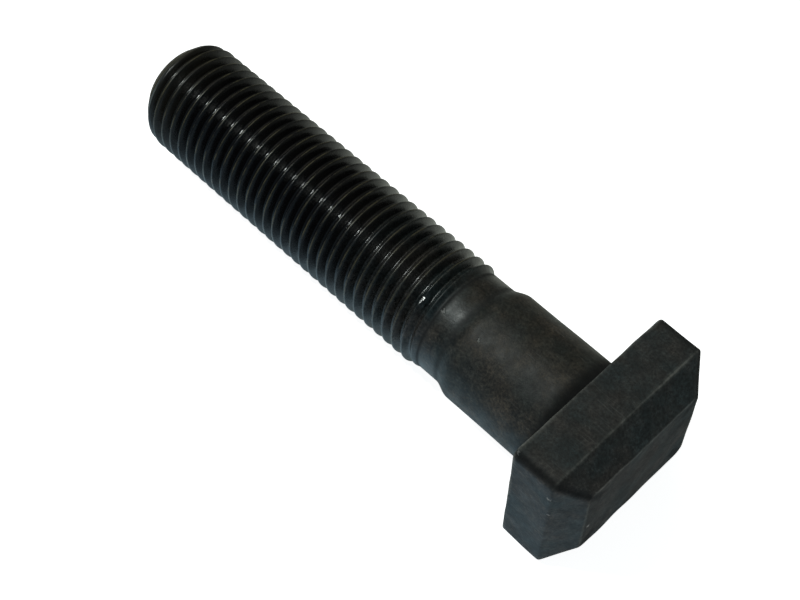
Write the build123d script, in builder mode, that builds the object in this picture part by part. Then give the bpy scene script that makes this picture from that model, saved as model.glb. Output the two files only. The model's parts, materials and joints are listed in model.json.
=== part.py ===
from build123d import *
from math import atan2, cos, degrees, radians, sin
import os

# Thread, M14 x 1.5. It is rolled, so the plain neck beside it keeps the blank's
# diameter, which is the pitch diameter. The threaded length is a plain cylinder here
thread_diameter = 14.0
thread_pitch = 1.5
pitch_diameter_drop = 0.6495
neck_diameter = thread_diameter - pitch_diameter_drop * thread_pitch

# Lengths along the bolt, from the head's bearing face towards the tip
length_under_head = 65.5
shank_diameter = 14.3
shank_length = 13.1
shoulder_length = 2.2
neck_length = 2.6
runout_length = 1.4

# Tip: the last turns taper in, and a chamfer leads to the end face
lead_in_length = 2.0
lead_in_depth = 0.7
tip_chamfer = 1.2
tip_edge_radius = 0.3

# Head: a forged rectangular block, bevelled all round its outer face
head_length = 22.8
head_width = 18.4
head_side_height = 5.3
bevel_height = 2.7
bevel_inset = 2.95
head_corner_radius = 1.2
bevel_foot_radius = 0.4
outer_edge_radius = 0.5
bearing_edge_radius = 0.3
under_head_radius = 0.5

# Radii and places along the bolt that follow from the sizes above
thread_radius = thread_diameter / 2
neck_radius = neck_diameter / 2
shank_radius = shank_diameter / 2
neck_start = shank_length + shoulder_length
neck_end = neck_start + neck_length
thread_start = neck_end + runout_length
chamfer_start = length_under_head - tip_chamfer
full_thread_end = chamfer_start - lead_in_length
shoulder_middle = ((shank_radius + neck_radius) / 2, (shank_length + neck_start) / 2)
lead_in_radius = thread_radius - lead_in_depth
end_face_radius = lead_in_radius - tip_chamfer
bearing_margin = min(head_length, head_width) / 2 - bearing_edge_radius - shank_radius

# The bolt lies on a long side of its head and on its last full turn of thread,
# so its axis drops a little towards the tip
lean = degrees(atan2(head_width / 2 - thread_radius, full_thread_end))
tipward = Vector(-cos(radians(lean)), 0, -sin(radians(lean)))
bolt_axis = Axis((0, 0, 0), tipward)
bearing_plane = Plane(origin=(0, 0, 0), x_dir=(0, 1, 0), z_dir=tipward)
foot_plane = bearing_plane.offset(-head_side_height)
outer_plane = foot_plane.offset(-bevel_height)
section_plane = Plane(origin=(0, 0, 0), x_dir=(0, 1, 0), z_dir=-bearing_plane.y_dir)


def faces_across_the_axis():
    """The outer face, the bearing face and the end face, in that order."""
    return wheel_bolt.faces().filter_by(bolt_axis).sort_by(bolt_axis)


with BuildPart() as wheel_bolt:
    # Straight sides of the head, from the foot of the bevel to the bearing face
    with BuildSketch(foot_plane):
        RectangleRounded(head_length, head_width, head_corner_radius)
    extrude(amount=head_side_height)

    # Bevel, from its foot to the outer face
    with BuildSketch(foot_plane):
        RectangleRounded(head_length, head_width, head_corner_radius)
    with BuildSketch(outer_plane):
        RectangleRounded(head_length - 2 * bevel_inset, head_width - 2 * bevel_inset, head_corner_radius)
    loft(ruled=True)
    bevel_foot = wheel_bolt.edges().filter_by_position(
        bolt_axis, -head_side_height - bevel_height / 4, -head_side_height + head_side_height / 4
    )
    fillet(bevel_foot, radius=bevel_foot_radius)
    fillet(faces_across_the_axis()[0].edges(), radius=outer_edge_radius)
    fillet(faces_across_the_axis()[1].edges(), radius=bearing_edge_radius)

    # Shank, shoulder, neck, run-out, threaded length and tip, turned about the axis
    with BuildSketch(section_plane):
        with BuildLine():
            Line((0, 0), (shank_radius, 0))
            Line((shank_radius, 0), (shank_radius, shank_length))
            TangentArc((shank_radius, shank_length), shoulder_middle, tangent=(0, 1))
            TangentArc((neck_radius, neck_start), shoulder_middle, tangent=(0, -1))
            Line((neck_radius, neck_start), (neck_radius, neck_end))
            Line((neck_radius, neck_end), (thread_radius, thread_start))
            Line((thread_radius, thread_start), (thread_radius, full_thread_end))
            TangentArc((thread_radius, full_thread_end), (lead_in_radius, chamfer_start), tangent=(0, 1))
            Line((lead_in_radius, chamfer_start), (end_face_radius, length_under_head))
            Line((end_face_radius, length_under_head), (0, length_under_head))
            Line((0, length_under_head), (0, 0))
        make_face()
    revolve(axis=bolt_axis)
    under_head_edge = faces_across_the_axis()[1].inner_wires()[0].edges()
    fillet(under_head_edge, radius=min(under_head_radius, bearing_margin / 2))
    fillet(faces_across_the_axis()[-1].edges(), radius=tip_edge_radius)

wheel_bolt.part.label = "wheel_bolt"
os.makedirs("parts", exist_ok=True)
export_step(wheel_bolt.part, "parts/wheel_bolt.step")
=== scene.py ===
import json

import bpy
import numpy as np
from mathutils import Matrix, Vector


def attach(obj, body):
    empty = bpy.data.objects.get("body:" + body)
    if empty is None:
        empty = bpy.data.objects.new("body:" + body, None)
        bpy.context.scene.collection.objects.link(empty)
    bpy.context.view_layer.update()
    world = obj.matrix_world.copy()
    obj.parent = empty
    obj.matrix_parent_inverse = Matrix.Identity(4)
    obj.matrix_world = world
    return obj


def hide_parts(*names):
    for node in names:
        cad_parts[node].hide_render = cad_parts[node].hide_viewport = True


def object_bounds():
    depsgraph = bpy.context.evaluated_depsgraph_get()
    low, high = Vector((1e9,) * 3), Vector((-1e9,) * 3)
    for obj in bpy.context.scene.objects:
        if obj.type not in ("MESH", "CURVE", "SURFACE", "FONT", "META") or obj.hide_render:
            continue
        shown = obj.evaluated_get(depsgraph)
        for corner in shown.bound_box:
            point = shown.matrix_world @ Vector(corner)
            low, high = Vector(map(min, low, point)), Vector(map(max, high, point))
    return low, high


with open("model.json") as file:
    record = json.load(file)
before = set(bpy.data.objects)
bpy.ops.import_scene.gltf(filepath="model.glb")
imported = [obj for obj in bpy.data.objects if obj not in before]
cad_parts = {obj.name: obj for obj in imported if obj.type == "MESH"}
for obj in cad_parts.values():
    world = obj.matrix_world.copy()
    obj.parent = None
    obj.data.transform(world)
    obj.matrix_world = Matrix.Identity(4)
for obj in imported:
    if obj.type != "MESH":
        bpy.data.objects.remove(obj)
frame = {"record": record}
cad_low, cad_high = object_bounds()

mm = 0.001

# The bolt's own directions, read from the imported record: towards the tip, along the
# head's long side, and down across the bolt
mounts = {mount["name"]: mount for mount in frame["record"]["mounts"]}
tipward = np.array(mounts["bearing_face"]["axis"], float)
tipward /= np.linalg.norm(tipward)
long_way = np.array([0.0, 1.0, 0.0])
drop_way = np.cross(tipward, long_way)

# The thread, M14 x 1.5. The depth of its groove and the drop from its crest diameter to its
# pitch diameter, which the neck keeps, are shares of the pitch. Its first crest stands at
# this height where the angle round the axis is 0, and a shallow seam runs along each crest
thread_radius = mounts["thread"]["dims"]["r_mm"] * mm
thread_pitch = 1.5 * mm
groove_depth_share = 0.6134
groove_depth = groove_depth_share * thread_pitch
pitch_diameter_drop = 0.6495
neck_radius = thread_radius - pitch_diameter_drop / 2 * thread_pitch
half_crest_flat = thread_pitch / 16
flank_angle = np.pi / 6
crest_softness = 0.075
groove_softness = 0.045
first_crest = 1.21 * mm
crest_seam_depth = 0.018 * mm
crest_seam_width = 0.03

# Radii and places of the turned part, from the bearing face towards the tip. The strip of
# thread ends a little way down the chamfer
shank_radius = mounts["shank"]["dims"]["r_mm"] * mm
under_head_radius = 0.5 * mm
shank_end = 13.1 * mm
neck_start = 15.3 * mm
neck_end = 17.9 * mm
full_crest_start = 19.3 * mm
full_groove_start = 20.6 * mm
full_thread_end = 62.3 * mm
chamfer_start = 64.3 * mm
strip_end = chamfer_start + 0.3 * mm
bolt_end = 65.5 * mm
lead_in_depth = 0.7 * mm
lead_in_radius = thread_radius - lead_in_depth
end_face_radius = 5.1 * mm
tip_edge_radius = 0.3 * mm

# The tip sits to one side of the axis: how far, and how long the thread takes to get there
tip_shift = 0.3 * mm
tip_shift_run = 2.2 * mm

# The knock that has flattened some crests beside the neck: where it lies along and round the
# bolt, how far it reaches each way, how deep it is and how much it tilts
knock_height = 20.2 * mm
knock_angle = np.radians(239.3)
knock_reach_along = 0.55 * mm
knock_reach_round = 0.7 * mm
knock_depth = 0.22 * mm
knock_tilt = 0.24

# Sizes of the head
head_length = 22.8 * mm
head_width = 18.4 * mm
head_side_height = 5.3 * mm
bevel_height = 2.7 * mm
bevel_inset = 2.95 * mm
head_corner_radius = 1.2 * mm
bevel_foot_radius = 0.4 * mm
outer_edge_radius = 0.5 * mm
bearing_edge_radius = 0.3 * mm

# The head's edges as inset and height: outer edge, foot of the bevel and bearing edge. Each
# is worn over a width, by so much on the head's ends and by so much more on its long sides
outer_edge = (bevel_inset, -head_side_height - bevel_height)
bevel_foot = (0, -head_side_height)
bearing_edge = (0, 0)
wear_widths = np.array([0.16, 0.16, 0.26]) * mm
wear_on_ends = np.array([0.16, 0.1, 1.1])
more_on_long_sides = np.array([0.22, 0.9, 0.0])

# Painted shade: dark on the head's four rounded corners, a painted contact shadow round the
# foot of the shank as far as this height, and dark lines in two grooves of the profile, each
# given by its place, width and strength
corner_shade = 0.85
foot_shadow_top = 2.7 * mm
foot_shadow_run = 1.8 * mm
shoulder_shade = (neck_start - 0.2 * mm, 0.4 * mm, 0.6)
root_shade = (neck_end, 0.25 * mm, 0.9)

# Rough scale from the forge: on the outer face, in full from this margin inwards, and a
# little of it on the head's ends
scale_margin = 0.4 * mm
scale_on_ends = 0.2

# Oil, from 0 on the dry head to 1 on the black and glossy turns, and the tan of the bare tip,
# which starts faintly some way before it
neck_oil = 0.45
first_turns_oil = 0.8
oil_run = 20 * mm
rim_tan_run = 0.4 * mm
faint_tan = 0.2
faint_tan_start = 57 * mm
faint_tan_run = 5 * mm

# Depth of the low swells that forging leaves: on the shank, on the head and along its edges,
# and the share of it that rolling takes off the thread
shank_swell = 0.05 * mm
head_swell = 0.14 * mm
edge_swell = 0.07 * mm
rolled_smooth = 0.8

# Fineness of the mesh: columns round the bolt, rows of its parts, steps in a rounded edge, and
# rows of thread from a crest to the next groove, which lie at these shares of the pitch,
# closer where the ridge is rounded
columns = 160
side_columns, corner_columns, end_columns = 21, 10, 9
outer_face_rows, bearing_face_rows, foot_rows, shank_rows = 24, 6, 7, 60
steps_in_an_edge = 6
longest_run_on_head = 0.35 * mm
longest_run_on_tip = 0.5 * mm
crest_to_groove = np.array([0, 0.045, 0.075, 0.11, 0.24, 0.375, 0.425, 0.5])
rows_in_a_turn = np.concatenate([crest_to_groove, 1 - crest_to_groove[-2:0:-1]])

# Points in the same cell of a grid of this step become one. The grid is shifted by part of
# a step, so that no point lies on the border of a cell
weld_distance = 0.0001 * mm
weld_shift = 0.37

mark_names = "oil", "ridge", "edge", "scale", "grime", "tan", "brown"

# Small bright knocks: the middle of each in mm along the bolt, along the head's long side and
# down across it, and its size in mm. Noise of this size shakes the coordinates by this much,
# so that no knock is round
small_knocks = [
    ((-5.1, -11.4, -6.3), 0.28),
    ((-5.5, -11.4, -2.9), 0.3),
    ((-7.0, -11.4, -7.1), 0.26),
    ((0.2, -11.4, 3.8), 0.3),
    ((-8.0, -7.6, 1.4), 0.35),
    ((-0.2, -11.0, -9.2), 0.35),
    ((12.3, -3.2, -6.4), 0.26),
    ((17.63, -2.97, -5.83), 0.32),
]
knock_shake = 0.8 * mm
knock_shake_size = 0.35 * mm

# Colours of the finish. The plain oxide is mottled between a darker and a lighter tone, cool
# ones on the head and browner ones on the shank
cool_oxide = (0.0105, 0.0155, 0.016, 1), (0.0205, 0.0185, 0.0165, 1)
warm_oxide = (0.0135, 0.015, 0.013, 1), (0.0255, 0.02, 0.014, 1)
oiled_oxide = (0.0048, 0.0044, 0.005, 1)
crest_brown = (0.054, 0.047, 0.026, 1)
tip_tan = (0.05, 0.043, 0.024, 1)
forging_scale = (0.007, 0.007, 0.0075, 1)
# Near-black for painted shade: the head's corners, two grooves and the contact shadow round the
# shank's foot
painted_shade_black = (0.003, 0.003, 0.003, 1)
scratched_steel = (0.1, 0.1, 0.095, 1)
worn_steel = (0.15, 0.15, 0.135, 1)
knocked_steel = (0.22, 0.22, 0.21, 1)


def smooth_step(value):
    """Rises from 0 to 1 as value does, with no slope at either end."""
    share = np.clip(value, 0, 1)
    return share * share * (3 - 2 * share)


def in_row_frame(height, along, drop):
    """Points of the bolt's own frame in the row frame: height times the way to the tip,
    plus along times the head's long way, plus drop times the way down."""
    height, along, drop = np.broadcast_arrays(height, along, drop)
    return height[..., None] * tipward + along[..., None] * long_way + drop[..., None] * drop_way


def round_the_axis():
    """The angle of each column round the axis. The last column closes on the first."""
    return np.linspace(0, 2 * np.pi, columns + 1)


def turned(heights, radii, **given):
    """A surface of revolution: a ring of each radius at its height."""
    heights, radii = np.asarray(heights)[:, None], np.asarray(radii)[:, None]
    angle = round_the_axis()
    points = in_row_frame(heights, radii * np.cos(angle), radii * np.sin(angle))
    return points, marks(points, **given)


def marks(points, **given):
    """What the finish reads at each point: oil, height on a ridge, wear along an edge, the rough
    scale that forging leaves, painted shade in corners, grooves and round the shank's foot, the
    tan of the bare tip and browned oxide."""
    shape = points.shape[:-1]
    return np.stack([np.broadcast_to(given.get(name, 0.0), shape) for name in mark_names], -1)


def fillet_path(corners, radii, steps):
    """A path of straight runs through the corners, each inner corner rounded by an arc that
    touches both runs. The arc's middle lies on the corner's bisector, radius / sin(half angle)
    away, and its points turn evenly from one tangent point to the other."""
    corners = np.asarray(corners, float)
    path = [corners[:1]]
    for before, corner, after, radius in zip(corners, corners[1:], corners[2:], radii):
        back = (before - corner) / np.linalg.norm(before - corner)
        on = (after - corner) / np.linalg.norm(after - corner)
        half = np.arccos(np.clip(back @ on, -1, 1)) / 2
        middle = corner + (back + on) / np.linalg.norm(back + on) * radius / np.sin(half)
        start = corner + back * radius / np.tan(half) - middle
        end = corner + on * radius / np.tan(half) - middle
        bend = np.pi - 2 * half
        swing = np.linspace(0, 1, steps + 1)[:, None] * bend
        arc = (np.sin(bend - swing) * start + np.sin(swing) * end) / np.sin(2 * half)
        path.append(middle + arc)
    path.append(corners[-1:])
    return np.concatenate(path)


def head_ring(inset, corner):
    """A rounded rectangle, inset from the head's sides, with as many points as the bolt has
    columns. In each quarter the points run up the end, round the corner and along the side."""
    inset, corner = np.asarray(inset)[:, None], np.asarray(corner)[:, None]
    quarter = columns // 4
    count = np.arange(columns + 1)
    step = quarter - abs(quarter - count % (2 * quarter))
    turn = np.clip((step - end_columns) / corner_columns, 0, 1) * np.pi / 2
    up_the_end = np.clip(step / end_columns, 0, 1)
    to_the_corner = 1 - np.clip((step - end_columns - corner_columns) / side_columns, 0, 1)
    long_sign = np.where((count > quarter) & (count < 3 * quarter), -1, 1)
    wide_sign = np.where(count > 2 * quarter, -1, 1)
    along = to_the_corner * (head_length / 2 - inset - corner) + corner * np.cos(turn)
    drop = up_the_end * (head_width / 2 - inset - corner) + corner * np.sin(turn)
    return long_sign * along, wide_sign * drop


def head_section():
    """The section of the head's side, as inset and height, from a little way onto the outer
    face to a little way onto the bearing face, with its three edges rounded."""
    onto_outer_face = (bevel_inset + 2 * mm, -head_side_height - bevel_height)
    onto_bearing_face = (1 * mm, 0)
    section = fillet_path(
        [onto_outer_face, outer_edge, bevel_foot, bearing_edge, onto_bearing_face],
        [outer_edge_radius, bevel_foot_radius, bearing_edge_radius],
        steps_in_an_edge,
    )
    return refined(section, longest_run_on_head).T


def edge_wear(inset, height, on_long_side):
    """Wear of the head's edges: a bell curve of the distance from each edge, times its strength,
    which grows from the ends to the long sides. Where edges meet, the greater counts."""
    edges = np.array([outer_edge, bevel_foot, bearing_edge])
    away = np.linalg.norm(np.stack([inset, height], -1)[:, None] - edges, axis=-1)[..., None]
    bell = np.exp(-((away / wear_widths[:, None]) ** 2))
    strength = wear_on_ends[:, None] + more_on_long_sides[:, None] * on_long_side[:, None]
    return (bell * strength).max(1)


def head():
    """The head from the middle of its outer face to the foot of the shank: rounded rectangles
    whose inset and height follow the section of the head's side."""
    inset, height = head_section()
    tucked_in = np.clip(inset, 0, bearing_edge_radius) * (height > -head_side_height / 2)
    corner = head_corner_radius - tucked_in
    along, drop = head_ring(inset, corner)
    rim = in_row_frame(height[:, None], along, drop)
    round_start = (inset + corner)[:, None]
    side_share = (abs(drop) - head_width / 2 + round_start) / corner[:, None]
    end_share = (abs(along) - head_length / 2 + round_start) / corner[:, None]
    on_long_side = smooth_step(side_share)
    at_a_corner = (2 * np.clip(side_share, 0, 1) * np.clip(end_share, 0, 1)) ** 2
    scale = smooth_step((inset - bevel_inset) / scale_margin) * (height < -head_side_height)
    rim_marks = marks(
        rim,
        edge=edge_wear(inset, height, on_long_side),
        scale=np.maximum(scale[:, None], scale_on_ends * (1 - on_long_side)),
        # Painted shade darkens the head's four rounded corners
        grime=corner_shade * at_a_corner,
    )

    share = np.linspace(0, 1, outer_face_rows)[:, None]
    outer = in_row_frame(height[:1, None], share * along[:1], share * drop[:1])

    share = np.linspace(0, 1, bearing_face_rows)[:, None]
    foot = shank_radius + under_head_radius
    angle = round_the_axis()
    bearing = in_row_frame(
        0.0 * share,
        (1 - share) * along[-1:] + share * foot * np.cos(angle),
        (1 - share) * drop[-1:] + share * foot * np.sin(angle),
    )
    return [(outer, marks(outer, scale=1.0)), (rim, rim_marks), (bearing, marks(bearing))]


def refined(path, longest):
    """The same path, with points added on its runs so that none is longer than the longest."""
    runs = np.linalg.norm(np.diff(path, axis=0), axis=1)
    pieces = np.ceil(runs / longest).astype(int)
    added = [start + np.arange(1, n + 1) / n for start, n in enumerate(pieces)]
    place = np.concatenate([[0], *added])
    return np.stack([np.interp(place, np.arange(len(path)), column) for column in path.T], -1)


def shade_line(height, place, width, strength):
    """Painted shade in a groove of the profile: a bell curve of the distance from it along the
    bolt.
    """
    return strength * np.exp(-(((height - place) / width) ** 2))


def shank_and_neck():
    """The turned part from the bearing face to the start of the thread. Its foot is a quarter
    circle, and its shoulder a smooth step from the shank's radius to the neck's."""
    swing = np.linspace(0, np.pi / 2, foot_rows)
    foot_height = under_head_radius * (1 - np.cos(swing))
    foot_radius = shank_radius + under_head_radius * (1 - np.sin(swing))
    rest = np.linspace(under_head_radius, neck_end, shank_rows)[1:]
    height = np.concatenate([foot_height, rest])
    shoulder = smooth_step((height - shank_end) / (neck_start - shank_end))
    radius = shank_radius + shoulder * (neck_radius - shank_radius)
    radius[:foot_rows] = foot_radius
    # Painted contact shadow round the foot of the shank under the head, and painted shade in the
    # shoulder's and the neck's grooves
    grime = smooth_step((foot_shadow_top - height) / foot_shadow_run)
    for groove in (shoulder_shade, root_shade):
        grime = np.maximum(grime, shade_line(height, *groove))
    oil = neck_oil * shoulder
    brown = 1 - 0.5 * shoulder
    return turned(height, radius, oil=oil[:, None], grime=grime[:, None], brown=brown[:, None])


def tip_radius(height):
    """The radius that the turns of thread stay within: it falls as a parabola over the lead-in
    and straight down over the chamfer."""
    lead = np.clip((height - full_thread_end) / (chamfer_start - full_thread_end), 0, 1)
    lead_in = lead**2 * (thread_radius - lead_in_radius)
    slope = (lead_in_radius - end_face_radius) / (bolt_end - chamfer_start)
    return thread_radius - lead_in - np.clip(height - chamfer_start, 0, None) * slope


def from_crest(phase):
    """How far a place in the pitch lies from the nearest crest, as a share of the pitch."""
    return abs((phase + 0.5) % 1 - 0.5)


def ridge_shape(phase):
    """The thread's section over one pitch: 1 on the crest, 0 in the groove, with flanks at 30
    degrees to the radius. The straight flank is bent over to 1 and to 0 by soft limits, each
    the softness times log(1 + e^(distance / softness)), the crest's the rounder."""
    down_the_flank = from_crest(phase) * thread_pitch - half_crest_flat
    rise = 1 - down_the_flank / (groove_depth * np.tan(flank_angle))
    low = groove_softness * np.logaddexp(0, rise / groove_softness)
    return 1 - crest_softness * np.logaddexp(0, (1 - low) / crest_softness)


def knocked(radius, height, angle):
    """The radius where the knock has pressed the crests down to its tilted plane, and the share
    of the knock there, e to the minus sum of the fourth powers of the distances."""
    aside = (angle - knock_angle) * thread_radius
    along = height - knock_height
    share = np.exp(-((aside / knock_reach_round) ** 4) - (along / knock_reach_along) ** 4)
    plane = thread_radius - knock_depth - knock_tilt * aside
    return radius + share * (plane - radius), share


def thread_marks(points, height, shape, cut, flat):
    """The marks of the thread: oil that grows over the first turns, ridges except where they
    are knocked flat, tan at the rim of the tip and painted shade in the groove where the thread
    starts."""
    oil = neck_oil + (first_turns_oil - neck_oil) * cut
    oil = oil + (1 - first_turns_oil) * smooth_step((height - neck_end) / oil_run)
    rim_tan = smooth_step((height - chamfer_start) / rim_tan_run + 1)
    first_tan = faint_tan * smooth_step((height - faint_tan_start) / faint_tan_run)
    return marks(
        points,
        oil=np.maximum(oil, flat),
        ridge=shape * cut * (1 - flat),
        tan=np.maximum(rim_tan, first_tan),
        # Painted shade in the groove where the thread starts
        grime=shade_line(height, *root_shade),
    )


def thread():
    """The thread as one strip wound round the bolt. Along a row the height climbs by one pitch
    in a turn, so a row stays on one part of the ridge. Rows that pass an end of the thread are
    gathered onto the ring there. Crest and groove part from the neck's radius by smooth steps."""
    start, end = neck_end, strip_end
    first_turn = (start - first_crest) // thread_pitch - 1
    last_turn = (end - first_crest) // thread_pitch + 1
    row = (np.arange(first_turn, last_turn + 1)[:, None] + rows_in_a_turn).reshape(-1, 1)
    share = np.arange(columns + 1) / columns
    height = np.clip(first_crest + (row + share) * thread_pitch, start, end)
    angle = round_the_axis()
    phase = (height - first_crest) / thread_pitch - share
    raised = smooth_step((height - start) / (full_crest_start - start))
    cut = smooth_step((height - start) / (full_groove_start - start))
    crest = neck_radius + raised * (thread_radius - neck_radius)
    groove = neck_radius + cut * (thread_radius - groove_depth - neck_radius)
    shape = ridge_shape(phase)
    seam = crest_seam_depth * cut * np.exp(-((from_crest(phase) / crest_seam_width) ** 2))
    radius = np.minimum(groove + shape * (crest - groove) - seam, tip_radius(height))
    radius, flat = knocked(radius, height, angle)
    points = in_row_frame(height, radius * np.cos(angle), radius * np.sin(angle))
    return points, thread_marks(points, height, shape, cut, flat)


def tip():
    """The end of the bolt: the rest of the chamfer, its rounded edge and the flat end face."""
    corners = [(tip_radius(strip_end), strip_end), (end_face_radius, bolt_end), (0, bolt_end)]
    section = fillet_path(corners, [tip_edge_radius], steps_in_an_edge)
    radius, height = refined(section, longest_run_on_tip).T
    return turned(height, radius, oil=1.0, tan=1.0)


def welded(sheets):
    """One closed surface from grids of points that share their border points. Each cell of a
    grid is two triangles, equal points become one, and triangles left with two corners go."""
    points, data, cells, first = [], [], [], 0
    for sheet, sheet_marks in sheets:
        rows, cols = sheet.shape[:2]
        number = first + np.arange(rows * cols).reshape(rows, cols)
        a, b, c, d = number[:-1, :-1], number[:-1, 1:], number[1:, 1:], number[1:, :-1]
        cells += [np.stack([a, b, c], -1).reshape(-1, 3), np.stack([a, c, d], -1).reshape(-1, 3)]
        points.append(sheet.reshape(-1, 3))
        data.append(sheet_marks.reshape(len(points[-1]), -1))
        first += rows * cols
    points, data, cells = np.concatenate(points), np.concatenate(data), np.concatenate(cells)
    rounded = np.floor(points / weld_distance + weld_shift)
    _, kept, same = np.unique(rounded, axis=0, return_index=True, return_inverse=True)
    cells = same.reshape(-1)[cells]
    one, two, three = cells.T
    whole = (one != two) & (two != three) & (three != one)
    return points[kept], data[kept], cells[whole]


def mesh_piece(name, points, data, cells):
    """A smooth-shaded object of these points and triangles, with the marks as attributes."""
    mesh = bpy.data.meshes.new(name)
    mesh.from_pydata(points, [], cells)
    for column, mark in enumerate(mark_names):
        layer = mesh.attributes.new(mark, "FLOAT", "POINT")
        layer.data.foreach_set("value", data[:, column].astype(np.float32))
    mesh.polygons.foreach_set("use_smooth", np.ones(len(mesh.polygons), bool))
    mesh.update()
    piece = bpy.data.objects.new(name, mesh)
    bpy.context.scene.collection.objects.link(piece)
    return piece


def outward(points, cells):
    """The way out of the surface at each point: the sum of its triangles' normals, made 1 long."""
    corners = points[cells]
    normals = np.cross(corners[:, 1] - corners[:, 0], corners[:, 2] - corners[:, 0])
    total = [np.bincount(cells.reshape(-1), np.repeat(part, 3), len(points)) for part in normals.T]
    total = np.stack(total, -1)
    return total / np.linalg.norm(total, axis=1)[:, None]


def waves(points, count, shortest, longest, seed):
    """Low swells in space, from -1 to 1: the mean of sine waves, each along its own drawn
    direction with its own drawn length and start."""
    draw = np.random.default_rng(seed)
    ways = draw.normal(size=(count, 3))
    ways /= np.linalg.norm(ways, axis=1)[:, None]
    turns = 2 * np.pi / draw.uniform(shortest, longest, (count, 1))
    return np.sin(points @ (ways * turns).T + draw.uniform(0, 2 * np.pi, count)).mean(1)


def as_forged(points, data, cells):
    """The surface as it was made: swells along its normals, deepest on the head and its edges
    and faint on the thread, and a tapered tip that sits a little to one side of the axis."""
    height = points @ tipward
    oil, edge = data[:, mark_names.index("oil")], data[:, mark_names.index("edge")]
    depth = shank_swell + (head_swell - shank_swell) * smooth_step(-height / mm)
    swell = depth * (1 - rolled_smooth * oil) * waves(points, 9, 4 * mm, 12 * mm, 5)
    swell = swell + edge_swell * edge * waves(points, 6, 2.5 * mm, 5 * mm, 8)
    aside = tip_shift * smooth_step((height - full_thread_end) / tip_shift_run)
    moved = points + outward(points, cells) * swell[:, None] + aside[:, None] * long_way
    return moved, data, cells


def wheel_bolt():
    """The whole bolt as one closed surface, from the head's outer face to the end face."""
    surface = as_forged(*welded([*head(), shank_and_neck(), thread(), tip()]))
    piece = mesh_piece("bolt_with_thread", *surface)
    piece.data.materials.append(black_oxide())
    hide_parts("wheel_bolt")
    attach(piece, "root")


class Finish:
    """A material's nodes. Each method adds one kind of node and gives its output, so that a
    finish reads from top to bottom."""

    def __init__(self, name):
        self.material = bpy.data.materials.new(name)
        self.material.use_nodes = True
        self.tree = self.material.node_tree
        self.tree.nodes.clear()
        self.place = self.node("TexCoord").outputs["Object"]

    def node(self, kind, inputs=None, **settings):
        """One node with its settings. An input is linked if it is a socket, and else set."""
        node = self.tree.nodes.new("ShaderNode" + kind)
        for name, value in settings.items():
            setattr(node, name, value)
        for name, value in (inputs or {}).items():
            if isinstance(value, bpy.types.NodeSocket):
                self.tree.links.new(value, node.inputs[name])
            else:
                node.inputs[name].default_value = value
        return node

    def mark(self, name):
        """One of the marks that the mesh carries."""
        return self.node("Attribute", attribute_name=name).outputs["Fac"]

    def noise(self, size, detail=4.0, roughness=0.55, place=None):
        """Cloudy noise whose lumps are about this size."""
        inputs = {"Vector": place or self.place, "Scale": 1 / size}
        inputs.update({"Detail": detail, "Roughness": roughness})
        return self.node("TexNoise", inputs).outputs["Fac"]

    def between(self, value, low, high, to_low=0.0, to_high=1.0):
        """The value spread from one range to another, and held at its ends."""
        inputs = {"Value": value, "From Min": low, "From Max": high}
        inputs.update({"To Min": to_low, "To Max": to_high})
        return self.node("MapRange", inputs).outputs["Result"]

    def sum(self, kind, *values):
        """Values joined by the kind of sum, such as MULTIPLY."""
        return self.node("Math", dict(enumerate(values)), operation=kind).outputs[0]

    def mix(self, share, first, second, kind="MIX"):
        """One colour laid over another by its share."""
        inputs = {0: share, 6: first, 7: second}
        return self.node("Mix", inputs, data_type="RGBA", blend_type=kind).outputs[2]

    def shade(self, colour, share, darkest, lightest):
        """A colour made darker or lighter by the share."""
        tones = self.mix(share, (darkest, darkest, darkest, 1), (lightest, lightest, lightest, 1))
        return self.mix(1.0, colour, tones, "MULTIPLY")

    def surface(self, inputs, height=None, depth=0.0):
        """The shader itself, with a bump of that depth if there is a height."""
        if height is not None:
            bump = self.node("Bump", {"Height": height, "Distance": depth, "Strength": 1.0})
            inputs["Normal"] = bump.outputs["Normal"]
        shader = self.node("BsdfPrincipled", inputs)
        output = self.node("OutputMaterial")
        self.tree.links.new(shader.outputs["BSDF"], output.inputs["Surface"])
        return self.material


def bright_knocks(finish):
    """Small bright knocks from other parts: 1 in the middle of each, and 0 beyond its size, on
    coordinates shaken a little so that none is round. The noise is 0.5 on average, so the
    middles are moved by half of the shake."""
    noise_inputs = {"Vector": finish.place, "Scale": 1 / knock_shake_size}
    shake = finish.node("TexNoise", noise_inputs).outputs["Color"]
    shaken = {0: shake, 1: (knock_shake,) * 3, 2: finish.place}
    place = finish.node("VectorMath", shaken, operation="MULTIPLY_ADD").outputs[0]
    deepest = 0.0
    for centre, size in small_knocks:
        middle = tuple(in_row_frame(*(np.array(centre) * mm)) + knock_shake / 2)
        gap = finish.node("VectorMath", {0: place, 1: middle}, operation="DISTANCE")
        knock = finish.between(gap.outputs["Value"], size * mm, 0.3 * size * mm)
        deepest = finish.sum("MAXIMUM", deepest, knock)
    return deepest


def scratches(finish, turn, seed):
    """Thin streaks that run one way, in patches: noise drawn out along one direction, of which
    only the highest part counts, and a second noise that hides most of it."""
    drawn_out = {"Vector": finish.place, "Rotation": turn, "Scale": (1, 16, 16)}
    drawn_out["Location"] = (seed, 0, 0)
    place = finish.node("Mapping", drawn_out).outputs["Vector"]
    streaks = finish.between(finish.noise(5 * mm, 1.0, place=place), 0.66, 0.74)
    return finish.sum("MULTIPLY", streaks, finish.between(finish.noise(4 * mm, 2.0), 0.42, 0.6))


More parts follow.
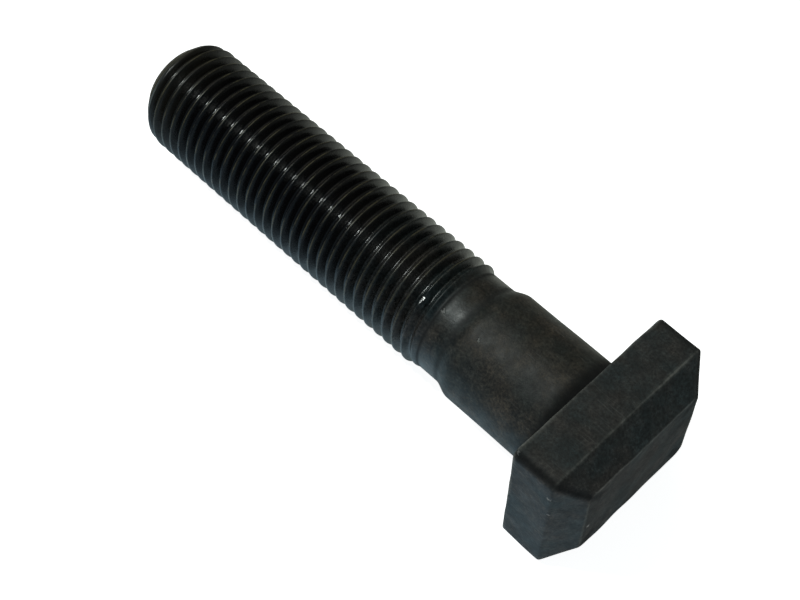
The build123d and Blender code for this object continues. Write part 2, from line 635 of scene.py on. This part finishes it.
def oxide_colour(finish, grain, lines, knocks):
    """The colour from the steel up: mottled oxide, fine grain, scratches, scale, worn edges,
    painted shade, knocks, the oiled black of the thread, its brownish crests and the tan tip."""
    patches = finish.between(finish.noise(4.5 * mm, 5.0), 0.4, 0.6)
    cool = finish.mix(patches, *cool_oxide)
    warm = finish.mix(patches, *warm_oxide)
    colour = finish.mix(finish.mark("brown"), cool, warm)
    blotches = finish.between(finish.noise(1.4 * mm, 5.0, 0.65), 0.38, 0.64)
    colour = finish.shade(colour, blotches, 0.68, 1.5)
    colour = finish.shade(colour, grain, 0.42, 1.9)
    colour = finish.mix(finish.sum("MULTIPLY", lines, 0.22), colour, scratched_steel)
    colour = finish.mix(finish.sum("MULTIPLY", finish.mark("scale"), 0.35), colour, forging_scale)

    fade = finish.between(finish.noise(6 * mm, 3.0), 0.38, 0.6, 0.4, 1.0)
    ragged = finish.between(finish.noise(0.7 * mm, 4.0, 0.65), 0.3, 0.65, 0.25, 1.0)
    worn = finish.sum("MULTIPLY", finish.sum("MULTIPLY", finish.mark("edge"), ragged), fade)
    colour = finish.mix(finish.between(worn, 0.05, 0.6, 0.0, 0.8), colour, worn_steel)
    # Painted shade: corners, grooves and the contact shadow round the shank's foot darkened
    # towards near-black
    colour = finish.mix(finish.sum("MULTIPLY", finish.mark("grime"), 0.95), colour, painted_shade_black)
    colour = finish.mix(finish.sum("MULTIPLY", knocks, 0.7), colour, knocked_steel)

    colour = finish.mix(finish.between(finish.mark("oil"), 0.8, 1.0), colour, oiled_oxide)
    broken = finish.between(finish.noise(2.2 * mm, 4.0), 0.42, 0.6)
    crest = finish.between(finish.mark("ridge"), 0.92, 0.99)
    colour = finish.mix(finish.sum("MULTIPLY", crest, broken), colour, crest_brown)
    uneven = finish.between(finish.noise(2 * mm, 4.0), 0.3, 0.6, 0.5, 1.0)
    return finish.mix(finish.sum("MULTIPLY", finish.mark("tan"), uneven), colour, tip_tan)


def oxide_roughness(finish, grain):
    """Satin where dry and glossy where oiled, with more or less added by part: duller on
    scale, on the tan tip, on crests and flanks and where shade is painted, glossier in the oiled
    grooves."""
    oil = finish.mark("oil")
    ridge = finish.mark("ridge")
    dry = finish.between(finish.mark("brown"), 0.0, 1.0, 0.6, 0.56)
    rough = finish.node("Mix", {0: oil, 2: dry, 3: 0.155}).outputs[0]
    on_thread = finish.between(oil, 0.8, 1.0)
    groove = finish.sum("MULTIPLY", finish.between(ridge, 0.4, 0.0), on_thread)
    crest = finish.between(ridge, 0.88, 0.95)
    above_groove = finish.between(ridge, 0.12, 0.3)
    below_crest = finish.between(ridge, 0.9, 0.75)
    flank = finish.sum("MULTIPLY", above_groove, below_crest)
    for part, more in (
        (finish.mark("scale"), 0.3),
        (groove, -0.05),
        (finish.mark("tan"), 0.4),
        (crest, 0.09),
        (flank, 0.07),
        (grain, 0.06),
        (finish.mark("grime"), 0.4),
    ):
        rough = finish.sum("MULTIPLY_ADD", part, more, rough)
    mottle = finish.between(finish.noise(1.2 * mm, 4.0), 0.3, 0.7, -0.07, 0.07)
    return finish.sum("ADD", rough, mottle)


def oxide_relief(finish, lines, knocks):
    """The height for the bump: two noises, less scratches and knocks, lower under oil."""
    height = finish.sum("ADD", finish.noise(0.3 * mm, 3.0, 0.6), finish.noise(1.6 * mm, 2.0))
    height = finish.sum("MULTIPLY_ADD", lines, -0.4, height)
    height = finish.sum("MULTIPLY_ADD", knocks, -2.5, height)
    return finish.sum("MULTIPLY", height, finish.between(finish.mark("oil"), 0.0, 1.0, 1.5, 0.6))


def black_oxide():
    """Black oxide on forged steel: satin and mottled on the head and shank, worn lighter along
    the edges, with shade painted dark into the corners, two grooves and round the shank's foot,
    and oiled black and glossy on the thread, with thin brownish crests and a tan tip."""
    finish = Finish("black_oxide")
    grain = finish.between(finish.noise(0.32 * mm, 3.0, 0.7), 0.36, 0.68)
    one_way = scratches(finish, (0, 0.5, 0.4), 0)
    other_way = scratches(finish, (0, -0.9, 1.0), 1)
    lines = finish.sum("MAXIMUM", one_way, other_way)
    knocks = bright_knocks(finish)
    colour = oxide_colour(finish, grain, lines, knocks)
    inputs = {"Base Color": colour, "Roughness": oxide_roughness(finish, grain), "IOR": 1.45}
    return finish.surface(inputs, oxide_relief(finish, lines, knocks), 0.02 * mm)


def photo_camera():
    """The camera as fitted to the photograph: where it stands, and the ways right and down in
    its picture."""
    place = Vector((33.971, -66.722, 141.559)) * mm
    right, down = Vector((0.70121, 0.7122, 0.03282)), Vector((0.62092, -0.58743, -0.51902))
    back = right.cross(-down)
    lens = bpy.data.cameras.new("photo_camera")
    lens.sensor_fit, lens.sensor_width, lens.lens = "HORIZONTAL", 36.0, 67.40
    lens.clip_start, lens.clip_end = 0.01, 20.0
    camera = bpy.data.objects.new("photo_camera", lens)
    camera.matrix_world = Matrix((right, -down, back)).transposed().to_4x4()
    camera.location = place
    bpy.context.scene.collection.objects.link(camera)
    bpy.context.scene.camera = camera


def panel_light(name, place, size, watts, colour):
    """A square soft light that faces the middle of the bolt."""
    light = bpy.data.lights.new(name, "AREA")
    light.size, light.energy, light.color = size, watts, colour
    lamp = bpy.data.objects.new(name, light)
    lamp.location = place
    aim = Vector((cad_low + cad_high) / 2) - Vector(place)
    lamp.rotation_euler = aim.to_track_quat("-Z", "Y").to_euler()
    bpy.context.scene.collection.objects.link(lamp)


class Room:
    """What the bolt mirrors: a world whose glow depends on the way one looks."""

    def __init__(self, name):
        self.world = bpy.data.worlds.new(name)
        self.world.use_nodes = True
        self.nodes, self.links = self.world.node_tree.nodes, self.world.node_tree.links
        self.way = self.nodes.new("ShaderNodeTexCoord").outputs["Generated"]

    def towards(self, direction):
        """How far one looks that way: 0 straight away from it and 1 straight towards it."""
        dot = self.nodes.new("ShaderNodeVectorMath")
        dot.operation = "DOT_PRODUCT"
        dot.inputs[1].default_value = Vector(direction).normalized()
        self.links.new(self.way, dot.inputs[0])
        spread = self.nodes.new("ShaderNodeMapRange")
        spread.inputs["From Min"].default_value, spread.inputs["From Max"].default_value = -1, 1
        self.links.new(dot.outputs["Value"], spread.inputs["Value"])
        return spread.outputs["Result"]

    def ramp(self, share, stops):
        """A colour that runs through the stops, each a place from 0 to 1 and its colour."""
        ramp = self.nodes.new("ShaderNodeValToRGB")
        colours = ramp.color_ramp.elements
        for count, (position, colour) in enumerate(stops):
            stop = colours[count] if count < 2 else colours.new(position)
            stop.position, stop.color = position, (*colour, 1)
        self.links.new(share, ramp.inputs["Fac"])
        return ramp.outputs["Color"]

    def join(self, kind, first, second):
        """One colour dimmed by another with MULTIPLY, or brightened by it with ADD."""
        mix = self.nodes.new("ShaderNodeMix")
        mix.data_type, mix.blend_type = "RGBA", kind
        mix.inputs[0].default_value = 1.0
        self.links.new(first, mix.inputs[6])
        self.links.new(second, mix.inputs[7])
        return mix.outputs[2]

    def glow(self, colour, backdrop):
        """Gives the world that colour in all that it lights, and the backdrop's where it is
        seen."""
        mix = self.nodes.new("ShaderNodeMix")
        mix.data_type = "RGBA"
        mix.inputs[7].default_value = (*backdrop, 1)
        seen = self.nodes.new("ShaderNodeLightPath").outputs["Is Camera Ray"]
        self.links.new(seen, mix.inputs[0])
        self.links.new(colour, mix.inputs[6])
        self.links.new(mix.outputs[2], self.nodes["Background"].inputs["Color"])
        return self.world


def grey(level):
    """A colour with no tint."""
    return level, level, level


def paper_glow(room):
    """Pale paper low down, dim room higher up: a level by height, times a tint that is bluish
    on the near side, times what darkens it beyond the tip and close under the bolt."""
    heights = [(0.0, 0.5), (0.045, 0.68), (0.08, 0.82), (0.12, 0.86), (0.2, 0.84)]
    heights += [(0.32, 0.57), (0.42, 0.26), (0.5, 0.17), (0.62, 0.12), (0.8, 0.095)]
    paper = room.ramp(room.towards((0, 0, 1)), [(place, grey(level)) for place, level in heights])
    near, middle, far = (0.54, 0.84, 1.06), (0.93, 1.34, 1.58), (0.95, 1.02, 0.9)
    tints = [(0.0, near), (0.27, middle), (0.39, middle), (0.5, (0.66, 0.88, 0.97))]
    tints += [(0.6, (0.64, 0.72, 0.68)), (0.74, far)]
    tints += [(0.9, (0.97, 1.05, 0.93)), (0.97, (0.92, 0.99, 0.88))]
    tint = room.ramp(room.towards((0, 1, 0)), tints)
    past_the_tip = [(0.2, grey(0.5)), (0.28, grey(0.9)), (0.5, grey(1))]
    shadow = room.ramp(room.towards((1, 0, 0)), past_the_tip)
    under = room.ramp(room.towards((0.76, -0.3, -0.58)), [(0.94, grey(1)), (0.985, grey(0.2))])
    paper = room.join("MULTIPLY", paper, under)
    return room.join("MULTIPLY", tint, room.join("MULTIPLY", paper, shadow))


def lamp_glow(room):
    """A narrow warm lamp high above the thread, the product of a ramp along each of the three
    ways, and a faint halo on top of it."""
    along_the_bolt = [(0.26, grey(0)), (0.295, grey(1)), (0.33, grey(0))]
    across_it = [(0.45, grey(0)), (0.55, grey(1)), (0.78, grey(0.6)), (0.9, grey(0))]
    overhead = [(0.75, grey(0)), (0.85, (2.3, 2.1, 1.45))]
    lamp = room.ramp(room.towards((1, 0, 0)), along_the_bolt)
    reach = room.ramp(room.towards((0, 1, 0)), across_it)
    high = room.ramp(room.towards((0, 0, 1)), overhead)
    lamp = room.join("MULTIPLY", lamp, room.join("MULTIPLY", reach, high))
    faint = [(0.89, grey(0)), (0.97, grey(0.12)), (1.0, grey(0.3))]
    halo = room.ramp(room.towards((-0.42, 0.12, 0.9)), faint)
    return room.join("ADD", halo, lamp)


def surroundings():
    """The paper's glow plus the lamp's, in front of a white backdrop."""
    room = Room("surroundings")
    return room.glow(room.join("ADD", paper_glow(room), lamp_glow(room)), grey(1.0))


def studio():
    """A plain white floor under the bolt, its surroundings and one soft window."""
    half = 2.0
    square = (-half, -half), (half, -half), (half, half), (-half, half)
    floor_mesh = bpy.data.meshes.new("floor")
    floor_mesh.from_pydata([(x, y, cad_low.z) for x, y in square], [], [(0, 1, 2, 3)])
    floor = bpy.data.objects.new("floor", floor_mesh)
    bpy.context.scene.collection.objects.link(floor)
    white = {"Base Color": (0.9, 0.9, 0.9, 1), "Roughness": 0.9}
    white.update({"Emission Color": (1, 1, 1, 1), "Emission Strength": 0.92})
    floor_mesh.materials.append(Finish("white_floor").surface(white))
    floor.visible_glossy = False

    bpy.context.scene.world = surroundings()
    bpy.context.scene.view_settings.view_transform = "Standard"

    panel_light("window", (-0.40, -0.25, 0.80), 0.08, 3.5, (0.93, 1.0, 0.96))


wheel_bolt()
photo_camera()
studio()
